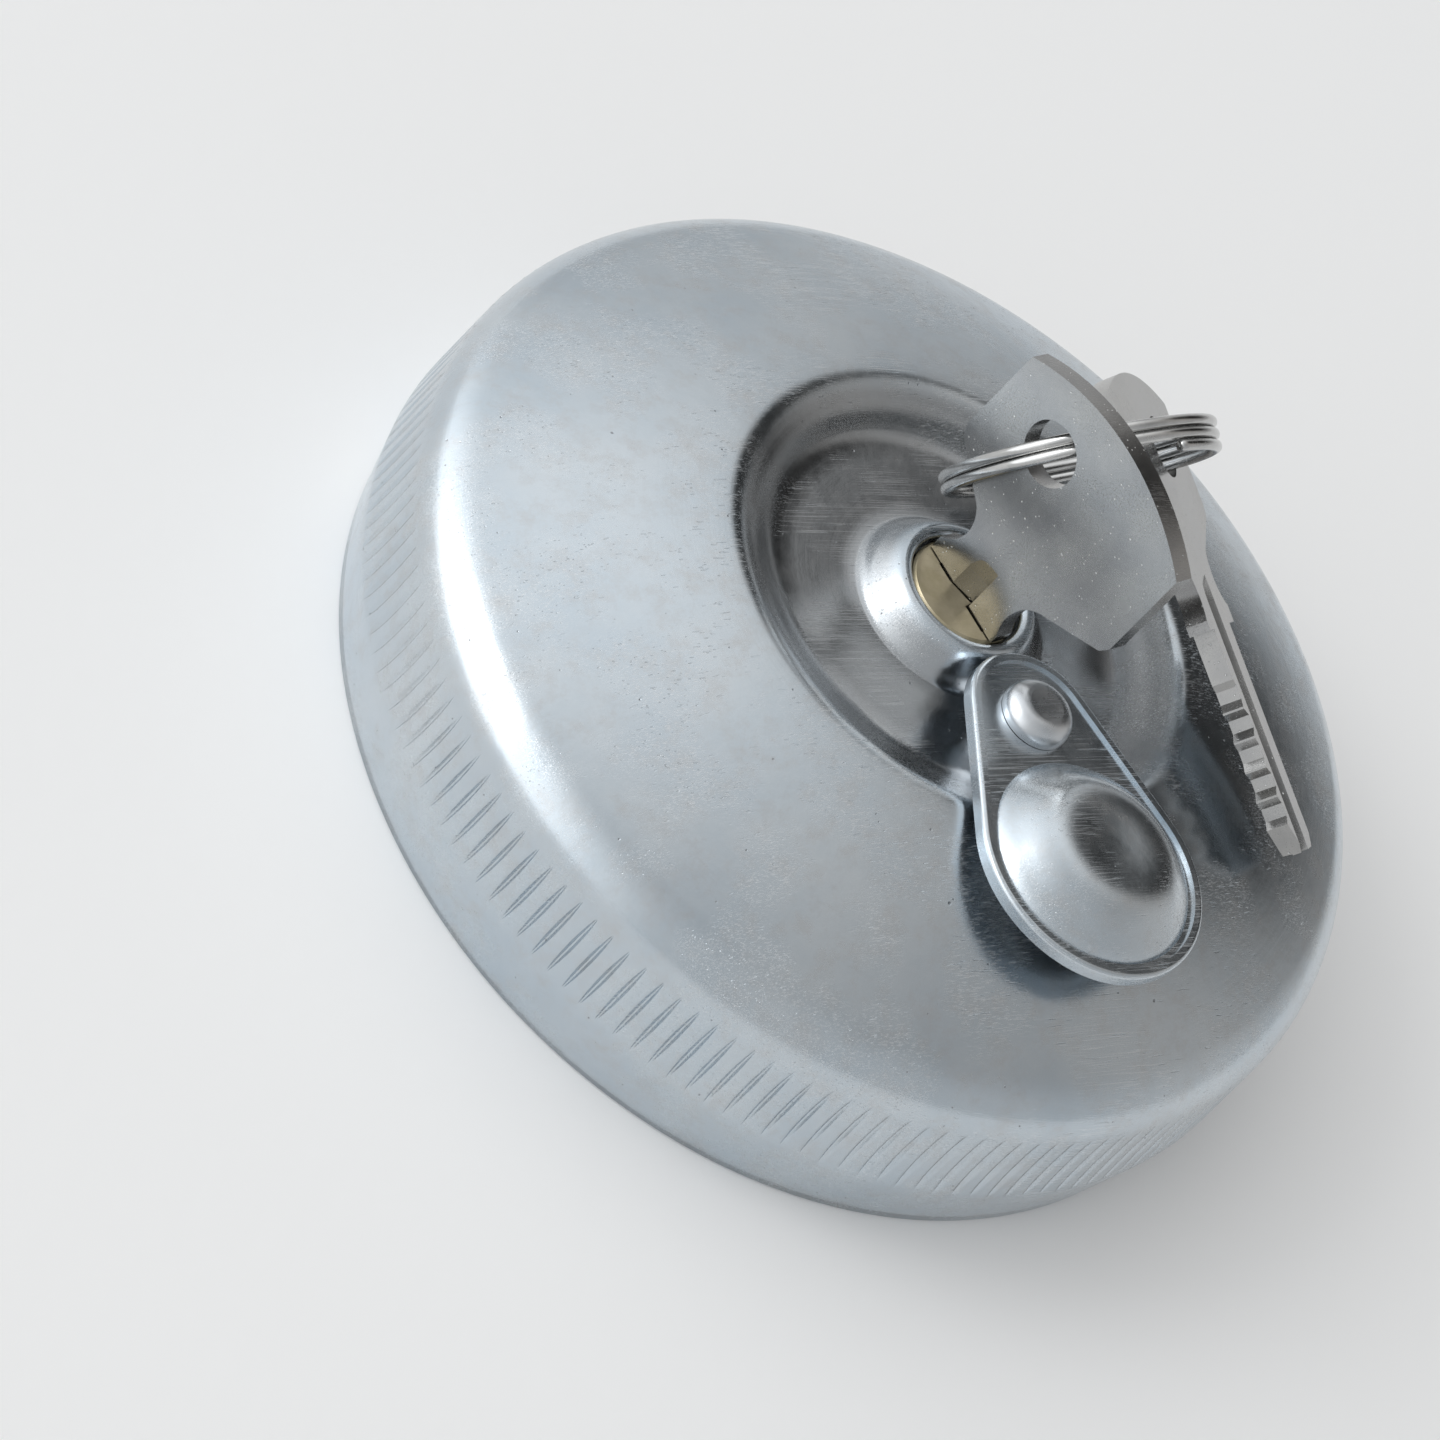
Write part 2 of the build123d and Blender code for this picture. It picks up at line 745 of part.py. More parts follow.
def gasket_plate():
    """Sliding plate above the gasket, its collar guided on the inner plate's own."""
    outline = [
        (guide_radius + 0.3, gasket_plate_bottom),
        (gasket_plate_radius, gasket_plate_bottom),
        (gasket_plate_radius, gasket_plate_top),
        (guide_radius + 1.3, gasket_plate_top),
        (guide_radius + 1.3, gasket_plate_collar),
        (guide_radius + 0.3, gasket_plate_collar),
    ]
    save(turned(outline), "gasket_plate")


def pressure_spring():
    """Conical spring that presses the gasket plate down and can close flat."""
    low = gasket_plate_top + spring_wire + 0.02
    high = plate_bottom - spring_wire - 0.02
    rise = high - low
    with BuildPart() as spring:
        with BuildLine():
            path = Helix(
                pitch=math.hypot(rise, spring_taper) / 2.4,
                height=rise,
                radius=spring_radius,
                center=(0, 0, low),
                cone_angle=-math.degrees(math.atan2(spring_taper, rise)),
            )
        with BuildSketch(Plane(path @ 0, z_dir=path % 0)):
            Circle(spring_wire)
        sweep(is_frenet=True)
    save(spring.part, "pressure_spring")


# Sizes that follow from the ones above
key_turn = math.radians(key_angle)
along_key = (math.cos(key_turn), math.sin(key_turn), 0)
key_foot = Plane(
    (key_shift * along_key[0], key_shift * along_key[1], plug_face + key_stop),
    x_dir=(-along_key[0], -along_key[1], 0),
    z_dir=(-along_key[1], along_key[0], 0),
)
spare_foot = Plane(spare_origin, x_dir=spare_across, z_dir=spare_normal)
wafer_heights = [
    first_wafer - index * wafer_pitch - wafer_thickness / 2 for index in range(wafer_count)
]
wafer_reach = body_radius - 0.1
wafer_slot_width = wafer_width + 0.3
spring_side = wafer_width / 2 - 0.55
washer_bottom = floor_height - shell_wall - 0.8
gasket_plate_bottom = gasket_bottom + gasket_thickness
gasket_plate_top = gasket_plate_bottom + 1.2
rivet_bore = pivot_radius + 0.1

os.makedirs("parts", exist_ok=True)
save(cover_shell(), "cover_shell")
dust_cover()
cover_rivet()
rivet_sleeves()
lock_plug()
wafers()
wafer_springs()
plug_seal()
key_blank(key_foot, "key")
key_blank(spare_foot, "spare_key")
split_ring()
lock_housing()
inner_plate()
housing_rivets()
vent_valve()
bayonet_plate()
plate_screws()
scroll_cam()
cam_screw()
bolt(1, "bolt_right")
bolt(-1, "bolt_left")
bolt_guides()
gasket_plate()
save(tube(gasket_inner, gasket_outer, gasket_bottom, gasket_plate_bottom), "neck_gasket")
pressure_spring()
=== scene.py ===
"""Locking fuel tank cap: looks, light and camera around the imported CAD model."""

import json
import math

import bpy
import numpy as np
from mathutils import Matrix, Vector


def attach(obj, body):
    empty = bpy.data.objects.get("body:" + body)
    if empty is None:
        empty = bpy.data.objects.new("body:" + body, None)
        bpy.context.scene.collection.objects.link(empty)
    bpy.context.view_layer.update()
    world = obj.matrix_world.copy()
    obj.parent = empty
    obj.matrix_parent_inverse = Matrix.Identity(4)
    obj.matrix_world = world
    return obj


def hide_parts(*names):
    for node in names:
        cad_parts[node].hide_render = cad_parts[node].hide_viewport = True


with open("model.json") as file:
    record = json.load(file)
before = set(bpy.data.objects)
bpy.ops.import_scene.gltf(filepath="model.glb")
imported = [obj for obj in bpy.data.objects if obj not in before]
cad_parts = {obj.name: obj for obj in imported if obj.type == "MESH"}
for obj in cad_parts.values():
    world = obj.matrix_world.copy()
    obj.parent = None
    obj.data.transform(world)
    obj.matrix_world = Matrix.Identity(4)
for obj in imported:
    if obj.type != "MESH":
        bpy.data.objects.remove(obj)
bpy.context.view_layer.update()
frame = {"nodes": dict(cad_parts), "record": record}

MM = 0.001

# Cover: the same section as the CAD shell, as (radius, height) in millimetres
WALL = 1.0
RIM_EDGE = [(48.55, 0.0), (48.725, 0.025)]
RIM_OUTSIDE = (49.0, 0.25)
RIM_INSIDE = (48.05, 0.05)
WIDEST = (50.0, 7.45)
SKIRT_TOP = (49.15, 16.0)
SHOULDER_RADIUS = 6.45
SHOULDER_SLOPE = math.radians(23)
DOME_END = (25.2, 27.15)
DISH = [(25.2, 27.15), (23.4, 27.2), (21.2, 26.1), (17.6, 24.4)]
BOSS = [(10.0, 24.4), (8.55, 25.9), (6.9, 27.65), (5.8, 27.3)]
UNDER_BOSS = [(5.7, 26.65), (7.1, 26.45), (8.1, 24.8), (9.6, 23.4)]
UNDER_DISH = [(17.7, 23.4), (21.5, 25.15), (25.1, 26.15)]

# Knurl: grooves down the skirt, and a small raised dot above each ridge
GROOVES = 164
SKIRT_INSIDE = 45.0
GROOVE_DEPTH = 0.42
GROOVE_HALF = 0.36
GROOVE_LOW = 7.6
GROOVE_HIGH = 16.3
DOT_HEIGHT = 16.9
DOT_HALF = 0.14
DOT_RISE = 0.07

# Split ring
RING_CENTRE = Vector((8.23, 7.07, 38.39))
RING_NORMAL = Vector((-0.125, 0.913, 0.387)).normalized()
RING_RIGHT = Vector((0.81, -0.31, 0.49))
RING_RADIUS = 12.1
WIRE_RADIUS = 0.545
COIL_PITCH = 1.1
RING_LAP = 100.0
RING_CROSSING = 30.0

# Camera
CAMERA_PLACE = (-0.19499, -0.12926, 0.22324)
CAMERA_RIGHT = (0.8134, -0.3110, 0.4916)
CAMERA_UP = (0.0137, 0.8551, 0.5183)
CAMERA_BACK = (-0.5816, -0.4149, 0.6997)
CAMERA_LENS = 85.07
CAMERA_SENSOR = 36.0

# Light: an even level, and sides as (azimuth, elevation, sharpness, strength), dimming below zero
SKY_LEVEL = 0.58
DARKEST_LEVEL = 0.03
SIDES = [
    (150.0, 4.0, 3.0, 1.95),
    (75.0, 58.0, 9.0, 0.52),
    (23.0, 36.0, 24.0, -0.85),
    (14.0, 18.0, 30.0, -0.50),
    (320.0, 55.0, 6.0, -0.16),
]
COOL = (0.965, 0.985, 1.0, 1.0)
WARM = (1.0, 0.96, 0.92, 1.0)
WARM_SIDE = (5.0, 38.0, 5.0)
KEY_LIGHT_SIDE = (150, 34)
KEY_LIGHT_DISTANCE = 1.1
KEY_LIGHT_SIZE = 0.45
KEY_LIGHT_POWER = 1.6

# Floor
FLOOR_HALF = 3000.0
FLOOR_COLOUR = (0.96, 0.955, 0.95, 1.0)


# ---- Meshes ----


def mesh_piece(name, points, faces):
    """A new smooth-shaded object from points in millimetres."""
    mesh = bpy.data.meshes.new(name)
    mesh.from_pydata((np.asarray(points, float) * MM).tolist(), [], faces)
    mesh.validate()
    mesh.shade_smooth()
    piece = bpy.data.objects.new(name, mesh)
    bpy.context.scene.collection.objects.link(piece)
    return piece


def smooth_line(points, start, end, steps):
    """Points along a cubic through the given ones, with the slopes given at both ends."""
    p = np.array(points, float)
    slopes = np.zeros_like(p)
    slopes[1:-1] = (p[2:] - p[:-2]) / 2
    slopes[0] = np.array(start) / np.linalg.norm(start) * np.linalg.norm(p[1] - p[0])
    slopes[-1] = np.array(end) / np.linalg.norm(end) * np.linalg.norm(p[-1] - p[-2])
    line = []
    for index in range(len(p) - 1):
        for t in np.linspace(0, 1, steps, endpoint=False):
            a = 2 * t**3 - 3 * t**2 + 1
            b = t**3 - 2 * t**2 + t
            c = -2 * t**3 + 3 * t**2
            d = t**3 - t**2
            line.append(a * p[index] + b * slopes[index] + c * p[index + 1] + d * slopes[index + 1])
    return line + [p[-1]]


def cover_profile():
    """(radius, height) points: outside from the rim to the plug hole, then back underneath."""
    lean = math.atan2(WIDEST[0] - SKIRT_TOP[0], SKIRT_TOP[1] - WIDEST[1])
    centre = np.array(SKIRT_TOP) - SHOULDER_RADIUS * np.array((math.cos(lean), math.sin(lean)))

    def shoulder(angle, radius=SHOULDER_RADIUS):
        return centre + radius * np.array((math.cos(angle), math.sin(angle)))

    def between(a, b, count):
        start, end = np.array(a), np.array(b)
        return [start + (end - start) * t for t in np.linspace(0, 1, count, endpoint=False)]

    bend_end = math.pi / 2 - SHOULDER_SLOPE
    inward = np.array((-math.cos(SHOULDER_SLOPE), math.sin(SHOULDER_SLOPE)))
    start = shoulder(bend_end)
    chord = np.array(DOME_END) - start
    across = np.array((-inward[1], inward[0]))
    radius = chord @ chord / (2 * (chord @ across))
    middle = start + across * radius
    sweep = 2 * math.asin(np.linalg.norm(chord) / (2 * abs(radius)))
    first = math.atan2(*(start - middle)[::-1])
    turns = first + sweep * np.linspace(0, 1, 24)
    dome = [middle + abs(radius) * np.array((math.cos(turn), math.sin(turn))) for turn in turns]
    outer = [np.array(point) for point in RIM_EDGE]
    outer += between(RIM_OUTSIDE, WIDEST, 4)
    outer += between(WIDEST, SKIRT_TOP, 28)
    outer += [shoulder(lean + (bend_end - lean) * t) for t in np.linspace(0, 1, 26, endpoint=False)]
    outer += dome[:-1]
    outer += smooth_line(DISH, (-1, 0.12), (-1, -0.05), 7)[:-1]
    outer += between(DISH[-1], BOSS[0], 5)
    outer += smooth_line(BOSS, (-1, 0.15), (-0.35, -1), 8)
    inner = [np.array(point) for point in UNDER_BOSS + UNDER_DISH]
    bends = bend_end + (lean - bend_end) * np.linspace(0, 1, 8)
    inner += [shoulder(bend, SHOULDER_RADIUS - WALL) for bend in bends]
    inner += [np.array((WIDEST[0] - WALL, WIDEST[1])), np.array(RIM_INSIDE)]
    return outer, inner


def knurled_cover():
    """The cover as one closed skin of revolution, its skirt cut with lens-shaped grooves."""
    outer, inner = cover_profile()
    rows = np.array(outer + inner)
    in_groove = np.array((-1, -0.7, -0.35, 0, 0.35, 0.7, 1))
    ridge = np.array((0.2, 0.42, 0.5, 0.58, 0.8))
    pitch = 2 * math.pi / GROOVES
    points = []
    for index, (radius, height) in enumerate(rows):
        on_skirt = index < len(outer) and radius > SKIRT_INSIDE
        along = (height - GROOVE_LOW) / (GROOVE_HIGH - GROOVE_LOW)
        cut = on_skirt and 0 < along < 1
        fullness = math.sin(math.pi * along) ** 0.6 if cut else 0.0
        half = (GROOVE_HALF * max(fullness, 0.25)) / WIDEST[0]
        depth = GROOVE_DEPTH * (math.sin(math.pi * along) ** 0.8 if cut else 0.0)
        edge = half + ridge * (pitch - 2 * half)
        angles = np.concatenate((in_groove * half, edge))
        offset = np.concatenate((-depth * (1 - np.abs(in_groove) ** 1.5), np.zeros(len(ridge))))
        if on_skirt:
            near = math.exp(-(((height - DOT_HEIGHT) / DOT_HALF) ** 2))
            offset[len(in_groove) + 2] += DOT_RISE * near
        turned = (np.arange(GROOVES)[:, None] * pitch + angles[None, :]).ravel()
        radii = radius + np.tile(offset, GROOVES)
        level = np.full(turned.size, height)
        points.append(np.column_stack((radii * np.cos(turned), radii * np.sin(turned), level)))
    count = points[0].shape[0]
    faces = []
    total = len(points)
    for row in range(total):
        low, high = row * count, (row + 1) % total * count
        for column in range(count):
            right = (column + 1) % count
            faces.append((low + column, low + right, high + right, high + column))
    return mesh_piece("cover_knurled", np.concatenate(points), faces)


def coiled_ring():
    """Split ring: two turns of round wire and the lap where the ends lie side by side."""
    ahead = (RING_RIGHT - RING_NORMAL * RING_RIGHT.dot(RING_NORMAL)).normalized()
    side = RING_NORMAL.cross(ahead)
    ring = np.array([RING_NORMAL, ahead, side])
    centre = np.array(RING_CENTRE)
    around = 18
    steps = 280
    length = 720 + RING_LAP
    points = []

    def layer(turned):
        """Height of the wire above the lowest strand, in strands, after turning so far."""
        climbed = 0.0
        for turn in (0, 1):
            begin = RING_LAP + 360 * turn
            share = min(max((turned - begin) / RING_CROSSING, 0), 1)
            climbed += share * share * (3 - 2 * share)
        return climbed

    for step in range(-2, steps + 3):
        turned = min(max(step, 0), steps) / steps * length
        closing = {-2: 0.35, -1: 0.82, steps + 1: 0.82, steps + 2: 0.35}.get(step, 1.0)
        push = {-2: -0.3, -1: -0.18, steps + 1: 0.18, steps + 2: 0.3}.get(step, 0.0)
        angle = math.radians(turned - RING_LAP / 2) + push / RING_RADIUS
        outward = math.cos(angle) * ring[1] + math.sin(angle) * ring[2]
        height = (layer(turned) - 1.5) * COIL_PITCH
        for part in range(around):
            spin = 2 * math.pi * part / around
            reach = RING_RADIUS + WIRE_RADIUS * closing * math.cos(spin)
            rise = height + WIRE_RADIUS * closing * math.sin(spin)
            points.append(centre + outward * reach + ring[0] * rise)
    sections = len(points) // around
    faces = []
    for section in range(sections - 1):
        low, high = section * around, (section + 1) * around
        for part in range(around):
            after = (part + 1) % around
            faces.append((low + part, low + after, high + after, high + part))
    faces.append(tuple(range(around))[::-1])
    faces.append(tuple((sections - 1) * around + p for p in range(around)))
    return mesh_piece("split_ring_coil", points, faces)


# ---- Materials ----


class Surface:
    """A material's node tree, with short calls to add nodes to it."""

    def __init__(self, name):
        self.material = bpy.data.materials.new(name)
        self.material.use_nodes = True
        self.tree = self.material.node_tree
        self.tree.nodes.clear()
        self.shader = self.add("ShaderNodeBsdfPrincipled")
        output = self.add("ShaderNodeOutputMaterial")
        self.tree.links.new(self.shader.outputs[0], output.inputs["Surface"])
        coordinates = self.add("ShaderNodeTexCoord")
        in_millimetres = {0: coordinates.outputs["Object"], 1: (1000, 1000, 1000)}
        self.place = self.add("ShaderNodeVectorMath", in_millimetres, operation="MULTIPLY").outputs[0]

    def add(self, kind, inputs=(), **settings):
        node = self.tree.nodes.new(kind)
        for key, value in settings.items():
            setattr(node, key, value)
        for key, value in dict(inputs).items():
            if isinstance(value, bpy.types.NodeSocket):
                self.tree.links.new(value, node.inputs[key])
            else:
                node.inputs[key].default_value = value
        return node

    def math(self, operation, first, second=0.0):
        return self.add("ShaderNodeMath", {0: first, 1: second}, operation=operation).outputs[0]

    def noise(self, scale, detail=2.0, vector=None, roughness=0.5):
        inputs = {"Vector": vector or self.place, "Scale": scale}
        inputs.update({"Detail": detail, "Roughness": roughness})
        return self.add("ShaderNodeTexNoise", inputs).outputs["Fac"]

    def span(self, value, low, high, to_low=0.0, to_high=1.0):
        inputs = {"Value": value, "From Min": low, "From Max": high, "To Min": to_low, "To Max": to_high}
        return self.add("ShaderNodeMapRange", inputs).outputs["Result"]

    def scratches(self, turn, length, width, share, seed):
        """Hair lines in patches along one direction: 1 on a scratch, 0 off it."""
        stretch = {
            "Vector": self.place,
            "Location": (seed * 7.3, seed * 3.1, seed),
            "Rotation": (0.0, 0.0, math.radians(turn)),
            "Scale": (1 / length, 1 / width, 1 / width),
        }
        mapped = self.add("ShaderNodeMapping", stretch).outputs[0]
        lines = self.span(self.noise(1.0, 1.0, mapped), share, share + 0.05)
        patches = self.span(self.noise(0.13), 0.42, 0.58)
        return self.math("MULTIPLY", lines, patches)

    def pits(self, scale, size, share):
        """Small round marks scattered over the surface: 1 inside a mark."""
        spread = {"Vector": self.place, "Scale": scale, "Randomness": 1.0}
        cells = self.add("ShaderNodeTexVoronoi", spread)
        inside = self.span(cells.outputs["Distance"], size, size * 0.4)
        split = self.add("ShaderNodeSeparateColor", {0: cells.outputs["Color"]})
        chosen = self.math("GREATER_THAN", split.outputs[0], 1 - share)
        return self.math("MULTIPLY", inside, chosen)

    def mix(self, share, first, second):
        node = self.add("ShaderNodeMix", {0: share}, data_type="RGBA")
        for index, value in ((6, first), (7, second)):
            if isinstance(value, bpy.types.NodeSocket):
                self.tree.links.new(value, node.inputs[index])
            else:
                node.inputs[index].default_value = (*value, 1.0)
        return node.outputs[2]

    def height(self, value, depth):
        """Bump of that depth in millimetres, on top of what came before."""
        inputs = {"Height": value, "Distance": depth * MM, "Strength": 1.0}
        before = self.shader.inputs["Normal"]
        if before.links:
            inputs["Normal"] = before.links[0].from_socket
        bump = self.add("ShaderNodeBump", inputs)
        self.tree.links.new(bump.outputs[0], before)

    def finish(self, colour, roughness, metallic=1.0):
        for key, value in (("Base Color", colour), ("Roughness", roughness)):
            if isinstance(value, bpy.types.NodeSocket):
                self.tree.links.new(value, self.shader.inputs[key])
            else:
                self.shader.inputs[key].default_value = value
        self.shader.inputs["Metallic"].default_value = metallic
        return self.material


def spun_aluminium():
    """Old polished aluminium: cloudy tone, crossing scratches, pits, turning marks, and painted shade
    darkening the dish.
    """
    s = Surface("spun_aluminium")
    clouds = s.noise(0.055, 6.0, roughness=0.65)
    stains = s.noise(0.35, 8.0, roughness=0.75)
    hairs = s.scratches(20, 16.0, 0.12, 0.67, 1)
    for turn, length, seed in ((75, 14.0, 2), (-48, 20.0, 3), (132, 10.0, 4), (5, 12.0, 7)):
        hairs = s.math("MAXIMUM", hairs, s.scratches(turn, length, 0.10, 0.65, seed))
    deep = s.math("MAXIMUM", s.scratches(58, 5.0, 0.22, 0.71, 11), s.scratches(-70, 4.0, 0.2, 0.71, 12))
    pits = s.math("MAXIMUM", s.pits(0.30, 0.055, 0.22), s.pits(0.9, 0.10, 0.12))
    parts = s.add("ShaderNodeSeparateXYZ", {0: s.place})
    flat = s.add("ShaderNodeCombineXYZ", {0: parts.outputs[0], 1: parts.outputs[1]})
    radius = s.add("ShaderNodeVectorMath", {0: flat.outputs[0]}, operation="LENGTH").outputs["Value"]
    rings_at = s.add("ShaderNodeCombineXYZ", {0: radius, 1: s.math("MULTIPLY", parts.outputs[2], 0.6)})
    rings = s.noise(2.6, 3.0, rings_at.outputs[0], 0.7)
    colour = s.mix(s.span(clouds, 0.35, 0.65), (0.52, 0.585, 0.64), (0.60, 0.645, 0.68))
    colour = s.mix(s.math("MULTIPLY", s.span(stains, 0.48, 0.70), 0.55), colour, (0.52, 0.515, 0.51))
    # Painted shade: inside the lip and below its rim, the dish is mixed towards dark grey. This stands
    # in for the dish's shade and dark reflections.
    inside_lip = s.span(radius, 22.5, 24.5, 1.0, 0.0)
    recess_painted_shade = s.math("MULTIPLY", inside_lip, s.span(parts.outputs[2], 26.6, 27.4, 1.0, 0.0))
    colour = s.mix(s.math("MULTIPLY", recess_painted_shade, 0.75), colour, (0.42, 0.43, 0.44))
    colour = s.mix(s.math("MULTIPLY", hairs, 0.35), colour, (0.88, 0.89, 0.90))
    colour = s.mix(s.math("MULTIPLY", pits, 0.75), colour, (0.20, 0.20, 0.21))
    rough = s.math("ADD", s.span(clouds, 0.3, 0.7, 0.16, 0.24), s.math("MULTIPLY", hairs, 0.14))
    rough = s.math("ADD", rough, s.span(stains, 0.4, 0.8, 0.0, 0.10))
    s.height(rings, 0.006)
    s.height(s.noise(0.8, 4.0), 0.012)
    s.height(s.noise(5.0, 3.0), 0.0024)
    s.height(hairs, -0.0022)
    s.height(deep, -0.022)
    s.height(pits, -0.03)
    return s.finish(colour, rough)


def plated_nickel():
    """Worn nickel on the keys: satin faces with a speckle of bright nicks."""
    s = Surface("plated_nickel")
    clouds = s.noise(0.16, 5.0, roughness=0.6)
    hairs = s.math("MAXIMUM", s.scratches(30, 4.0, 0.09, 0.62, 5), s.scratches(-62, 3.0, 0.08, 0.63, 6))
    nicks = s.math("MAXIMUM", s.pits(1.1, 0.13, 0.22), s.pits(2.3, 0.20, 0.25))
    colour = s.mix(s.span(clouds, 0.35, 0.65), (0.33, 0.33, 0.33), (0.42, 0.415, 0.405))
    colour = s.mix(s.math("MULTIPLY", nicks, 0.8), colour, (0.92, 0.92, 0.91))
    rough = s.math("ADD", s.span(clouds, 0.3, 0.7, 0.20, 0.28), s.math("MULTIPLY", hairs, 0.08))
    s.height(s.noise(1.3, 3.0), 0.005)
    s.height(s.noise(7.0, 2.0), 0.005)
    s.height(hairs, -0.002)
    s.height(nicks, -0.03)
    return s.finish(colour, rough)


def simple_metal(name, first, second, rough, grain, line):
    """Metal with cloudy tone, fine grain and hair lines."""
    s = Surface(name)
    clouds = s.noise(0.3, 4.0, roughness=0.6)
    hairs = s.math("MAXIMUM", s.scratches(12, 5.0, 0.08, 0.60, 8), s.scratches(80, 3.0, 0.08, 0.62, 9))
    colour = s.mix(s.span(clouds, 0.35, 0.65), first, second)
    dark = tuple(part * 0.4 for part in first)
    colour = s.mix(s.math("MULTIPLY", s.pits(1.8, 0.12, 0.2), 0.5), colour, dark)
    s.height(s.noise(5.0, 3.0), grain)
    s.height(hairs, -line)
    cloudy = s.span(clouds, 0.3, 0.7, rough, rough + 0.1)
    return s.finish(colour, s.math("ADD", cloudy, s.math("MULTIPLY", hairs, 0.1)))


def plain_surface(name, first, second, rough, grain):
    """Rubber or moulded plastic: two close tones and a fine leathery grain."""
    s = Surface(name)
    clouds = s.noise(0.6, 5.0, roughness=0.65)
    colour = s.mix(s.span(clouds, 0.35, 0.65), first, second)
    s.height(s.noise(6.0, 3.0), grain)
    s.height(s.pits(2.4, 0.2, 0.3), -grain)
    return s.finish(colour, s.span(clouds, 0.3, 0.7, rough, rough + 0.12), metallic=0.0)


# Metals by slot: two tones, roughness, then the depths of the grain and of the hair lines
METALS = {
    "rivet_steel": ((0.60, 0.63, 0.66), (0.70, 0.72, 0.74), 0.24, 0.002, 0.0008),
    "plug_brass": ((0.44, 0.38, 0.25), (0.60, 0.53, 0.38), 0.30, 0.006, 0.006),
    "wafer_brass": ((0.62, 0.48, 0.25), (0.76, 0.62, 0.36), 0.30, 0.004, 0.003),
    "spring_steel": ((0.36, 0.36, 0.37), (0.50, 0.50, 0.50), 0.26, 0.004, 0.003),
    "ring_steel": ((0.46, 0.46, 0.455), (0.60, 0.595, 0.585), 0.15, 0.002, 0.001),
    "housing_zinc": ((0.34, 0.35, 0.36), (0.46, 0.47, 0.48), 0.42, 0.02, 0.0),
    "plated_steel": ((0.52, 0.53, 0.50), (0.66, 0.65, 0.58), 0.30, 0.006, 0.004),
}

# Rubber and plastic by slot: two tones, roughness and the depth of the grain
SOFTER = {
    "seal_rubber": ((0.016, 0.016, 0.017), (0.035, 0.034, 0.033), 0.62, 0.03),
    "vent_plastic": ((0.02, 0.02, 0.022), (0.045, 0.045, 0.048), 0.45, 0.012),
}

MATERIALS = {"cover_aluminium": spun_aluminium(), "key_nickel": plated_nickel()}
for slot, values in METALS.items():
    MATERIALS[slot] = simple_metal(slot, *values)
for slot, values in SOFTER.items():
    MATERIALS[slot] = plain_surface(slot, *values)

for subpart in frame["record"]["subparts"]:
    node = frame["nodes"][subpart["node"]]
    for holder in node.material_slots:
        holder.material = MATERIALS[subpart["material_slot"]]

cover = knurled_cover()
cover.data.materials.append(MATERIALS["cover_aluminium"])
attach(cover, "cap")
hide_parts("cover_shell")

coil = coiled_ring()
coil.data.materials.append(MATERIALS["ring_steel"])
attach(coil, "ring")
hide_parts("split_ring")


# ---- Floor, light and camera ----


def direction(azimuth, elevation):
    """Unit vector towards a side, from degrees about +Z and degrees above the floor."""
    a, e = math.radians(azimuth), math.radians(elevation)
    return Vector((math.cos(a) * math.cos(e), math.sin(a) * math.cos(e), math.sin(e)))


def floor():
    """Plain pale floor under the part."""
    corners = [(x * FLOOR_HALF, y * FLOOR_HALF, 0) for x, y in ((-1, -1), (1, -1), (1, 1), (-1, 1))]
    piece = mesh_piece("floor", corners, [(0, 1, 2, 3)])
    s = Surface("pale_floor")
    s.height(s.noise(0.4, 3.0), 0.02)
    piece.data.materials.append(s.finish(FLOOR_COLOUR, 0.8, metallic=0.0))


def key_light():
    """Round soft box on the bright side."""
    lamp = bpy.data.lights.new("key_light", "AREA")
    lamp.shape = "DISK"
    lamp.size = KEY_LIGHT_SIZE
    lamp.energy = KEY_LIGHT_POWER
    holder = bpy.data.objects.new("key_light", lamp)
    toward = direction(*KEY_LIGHT_SIDE)
    holder.location = toward * KEY_LIGHT_DISTANCE
    holder.rotation_euler = toward.to_track_quat("Z", "Y").to_euler()
    bpy.context.scene.collection.objects.link(holder)


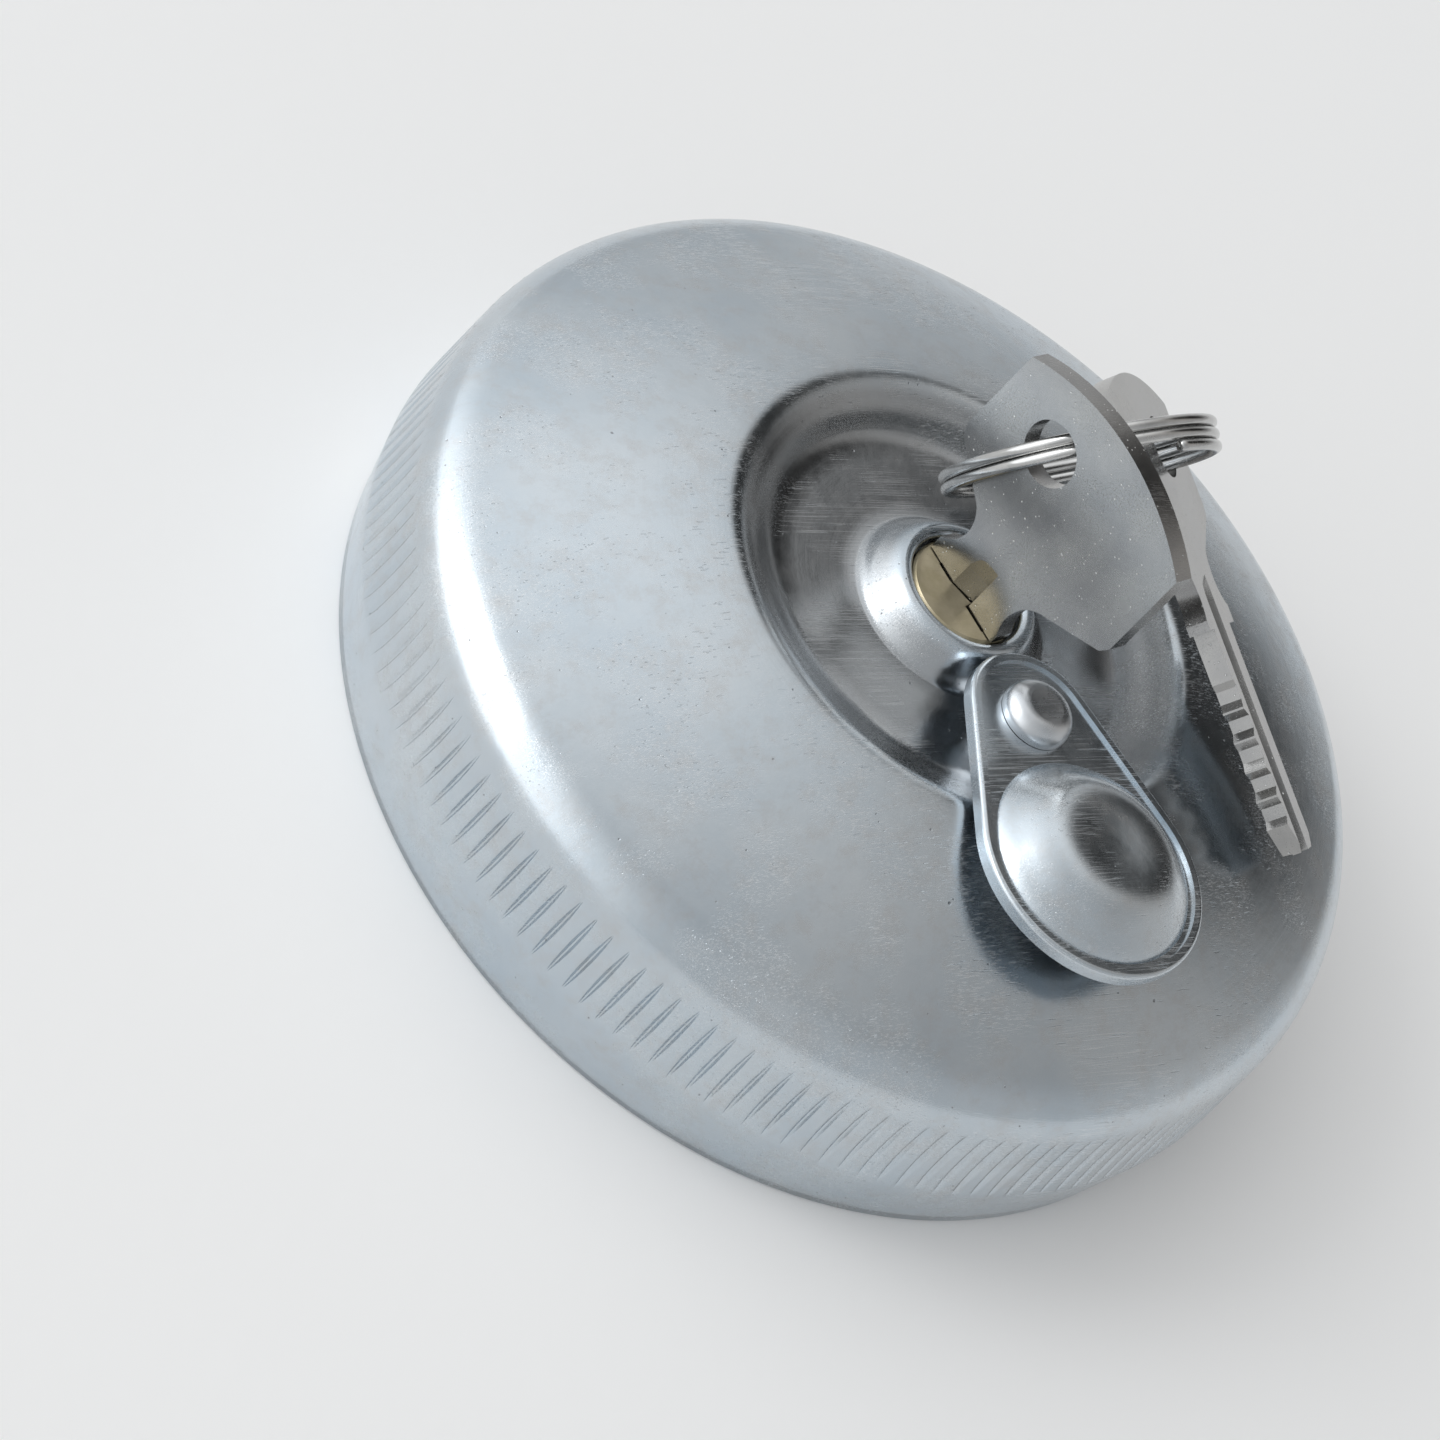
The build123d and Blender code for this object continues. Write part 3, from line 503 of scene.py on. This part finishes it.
def studio():
    """Even surroundings with bright sides and dim ones, the dim ones a little warmer."""
    world = bpy.data.worlds.new("studio")
    bpy.context.scene.world = world
    world.use_nodes = True
    tree = world.node_tree
    tree.nodes.clear()
    coordinates = tree.nodes.new("ShaderNodeTexCoord")

    def maths(kind, first, *values):
        """A math node: its first input is linked, and the others are linked or set."""
        node = tree.nodes.new("ShaderNodeMath")
        node.operation = kind
        tree.links.new(first, node.inputs[0])
        for place, value in enumerate(values, start=1):
            if isinstance(value, float):
                node.inputs[place].default_value = value
            else:
                tree.links.new(value, node.inputs[place])
        return node.outputs[0]

    def side(azimuth, elevation, sharpness):
        """1 straight towards that side, falling to 0 a quarter turn away."""
        dot = tree.nodes.new("ShaderNodeVectorMath")
        dot.operation = "DOT_PRODUCT"
        dot.inputs[1].default_value = direction(azimuth, elevation)
        tree.links.new(coordinates.outputs["Generated"], dot.inputs[0])
        return maths("POWER", maths("MAXIMUM", dot.outputs["Value"], 0.0), sharpness)

    level = SKY_LEVEL
    for azimuth, elevation, sharpness, strength in SIDES:
        level = maths("MULTIPLY_ADD", side(azimuth, elevation, sharpness), strength, level)
    tint = tree.nodes.new("ShaderNodeMix")
    tint.data_type = "RGBA"
    tint.inputs["A"].default_value = COOL
    tint.inputs["B"].default_value = WARM
    tree.links.new(side(*WARM_SIDE), tint.inputs["Factor"])
    background = tree.nodes.new("ShaderNodeBackground")
    tree.links.new(tint.outputs["Result"], background.inputs["Color"])
    tree.links.new(maths("MAXIMUM", level, DARKEST_LEVEL), background.inputs["Strength"])
    output = tree.nodes.new("ShaderNodeOutputWorld")
    tree.links.new(background.outputs[0], output.inputs["Surface"])


floor()
studio()
key_light()

camera = bpy.data.objects.new("camera", bpy.data.cameras.new("camera"))
camera.data.lens = CAMERA_LENS
camera.data.sensor_width = CAMERA_SENSOR
camera.data.clip_start = 0.01
camera.data.clip_end = 20.0
turn = Matrix((CAMERA_RIGHT, CAMERA_UP, CAMERA_BACK)).transposed().to_4x4()
camera.matrix_world = Matrix.Translation(CAMERA_PLACE) @ turn
bpy.context.scene.collection.objects.link(camera)
bpy.context.scene.camera = camera
bpy.context.scene.view_settings.view_transform = "Standard"
